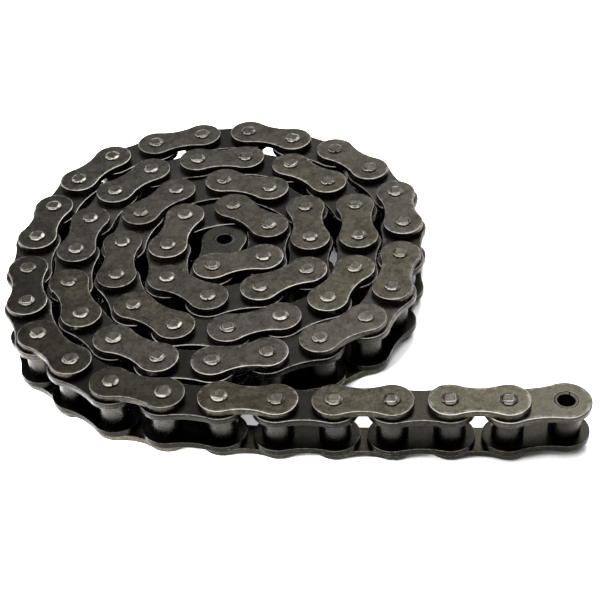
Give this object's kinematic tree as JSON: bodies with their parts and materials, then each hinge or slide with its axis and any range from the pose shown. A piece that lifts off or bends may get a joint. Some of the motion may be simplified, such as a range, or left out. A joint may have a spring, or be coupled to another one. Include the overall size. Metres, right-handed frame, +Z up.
{
  "type": "roller chain",
  "caption": "Length of heavy single-strand roller chain lying on its side, wound into a tight flat coil with one free end running off straight.",
  "frame": {"origin": "middle of the bounding box, on the floor that the lower pin ends stand on", "axes": "+Z up along the pins, +X along the free end, +Y from the free end across the coil"},
  "size_m": [0.4684, 0.4246, 0.0528],
  "materials": {
    "steel_outer": "blackened steel under old oil, worn grey on the edges and high spots",
    "steel_inner": "blackened steel under old oil",
    "steel_roller": "dark hardened steel, polished in service",
    "steel_bush": "dark hardened steel, bright worn rim",
    "steel_pin": "bare riveted pin ends, worn bright"
  },
  "bodies": {
    "coil": {"coil_run_01": "steel_outer", "coil_run_02": "steel_outer", "coil_run_03": "steel_outer", "coil_run_04": "steel_outer", "coil_run_05": "steel_outer", "coil_run_06": "steel_outer", "coil_run_07": "steel_outer", "coil_run_08": "steel_outer", "coil_run_09": "steel_outer", "coil_run_10": "steel_outer", "coil_run_11": "steel_outer", "coil_run_12": "steel_outer", "coil_run_13": "steel_outer", "coil_run_14": "steel_outer", "coil_run_15": "steel_outer", "coil_run_16": "steel_outer"},
    "tail_link_1": {"tail_link_1_bush_a": "steel_bush", "tail_link_1_bush_b": "steel_bush", "tail_link_1_plate_lower": "steel_inner", "tail_link_1_plate_upper": "steel_inner"},
    "tail_link_2": {"tail_link_2_pin_a": "steel_pin", "tail_link_2_pin_b": "steel_pin", "tail_link_2_plate_lower": "steel_outer", "tail_link_2_plate_upper": "steel_outer"},
    "tail_link_3": {"tail_link_3_bush_a": "steel_bush", "tail_link_3_bush_b": "steel_bush", "tail_link_3_plate_lower": "steel_inner", "tail_link_3_plate_upper": "steel_inner"},
    "tail_link_4": {"tail_link_4_pin_a": "steel_pin", "tail_link_4_pin_b": "steel_pin", "tail_link_4_plate_lower": "steel_outer", "tail_link_4_plate_upper": "steel_outer"},
    "tail_link_5": {"tail_link_5_bush_a": "steel_bush", "tail_link_5_bush_b": "steel_bush", "tail_link_5_plate_lower": "steel_inner", "tail_link_5_plate_upper": "steel_inner"},
    "tail_roller_1": {"tail_link_1_roller_a": "steel_roller"},
    "tail_roller_2": {"tail_link_1_roller_b": "steel_roller"},
    "tail_roller_3": {"tail_link_3_roller_a": "steel_roller"},
    "tail_roller_4": {"tail_link_3_roller_b": "steel_roller"},
    "tail_roller_5": {"tail_link_5_roller_a": "steel_roller"},
    "tail_roller_6": {"tail_link_5_roller_b": "steel_roller"}
  },
  "joints": [
    {"name": "swing_1", "type": "hinge", "parent": "coil", "child": "tail_link_1", "pos_m": [-0.00724, -0.17653, 0.02641], "axis": [0, 0, 1], "range_deg": [-50, 15]},
    {"name": "swing_2", "type": "hinge", "parent": "tail_link_1", "child": "tail_link_2", "pos_m": [0.03699, -0.18095, 0.02641], "axis": [0, 0, 1], "range_deg": [-50, 15]},
    {"name": "swing_3", "type": "hinge", "parent": "tail_link_2", "child": "tail_link_3", "pos_m": [0.08124, -0.18513, 0.02641], "axis": [0, 0, 1], "range_deg": [-50, 15]},
    {"name": "swing_4", "type": "hinge", "parent": "tail_link_3", "child": "tail_link_4", "pos_m": [0.12557, -0.18846, 0.02641], "axis": [0, 0, 1], "range_deg": [-50, 15]},
    {"name": "swing_5", "type": "hinge", "parent": "tail_link_4", "child": "tail_link_5", "pos_m": [0.16983, -0.19249, 0.02641], "axis": [0, 0, 1], "range_deg": [-50, 25]},
    {"name": "roller_spin_1", "type": "hinge", "parent": "tail_link_1", "child": "tail_roller_1", "pos_m": [-0.00724, -0.17653, 0.02641], "axis": [0, 0, 1], "continuous": true},
    {"name": "roller_spin_2", "type": "hinge", "parent": "tail_link_1", "child": "tail_roller_2", "pos_m": [0.03699, -0.18095, 0.02641], "axis": [0, 0, 1], "continuous": true},
    {"name": "roller_spin_3", "type": "hinge", "parent": "tail_link_3", "child": "tail_roller_3", "pos_m": [0.08124, -0.18513, 0.02641], "axis": [0, 0, 1], "continuous": true},
    {"name": "roller_spin_4", "type": "hinge", "parent": "tail_link_3", "child": "tail_roller_4", "pos_m": [0.12557, -0.18846, 0.02641], "axis": [0, 0, 1], "continuous": true},
    {"name": "roller_spin_5", "type": "hinge", "parent": "tail_link_5", "child": "tail_roller_5", "pos_m": [0.16983, -0.19249, 0.02641], "axis": [0, 0, 1], "continuous": true},
    {"name": "roller_spin_6", "type": "hinge", "parent": "tail_link_5", "child": "tail_roller_6", "pos_m": [0.21424, -0.19063, 0.02641], "axis": [0, 0, 1], "continuous": true}
  ]
}
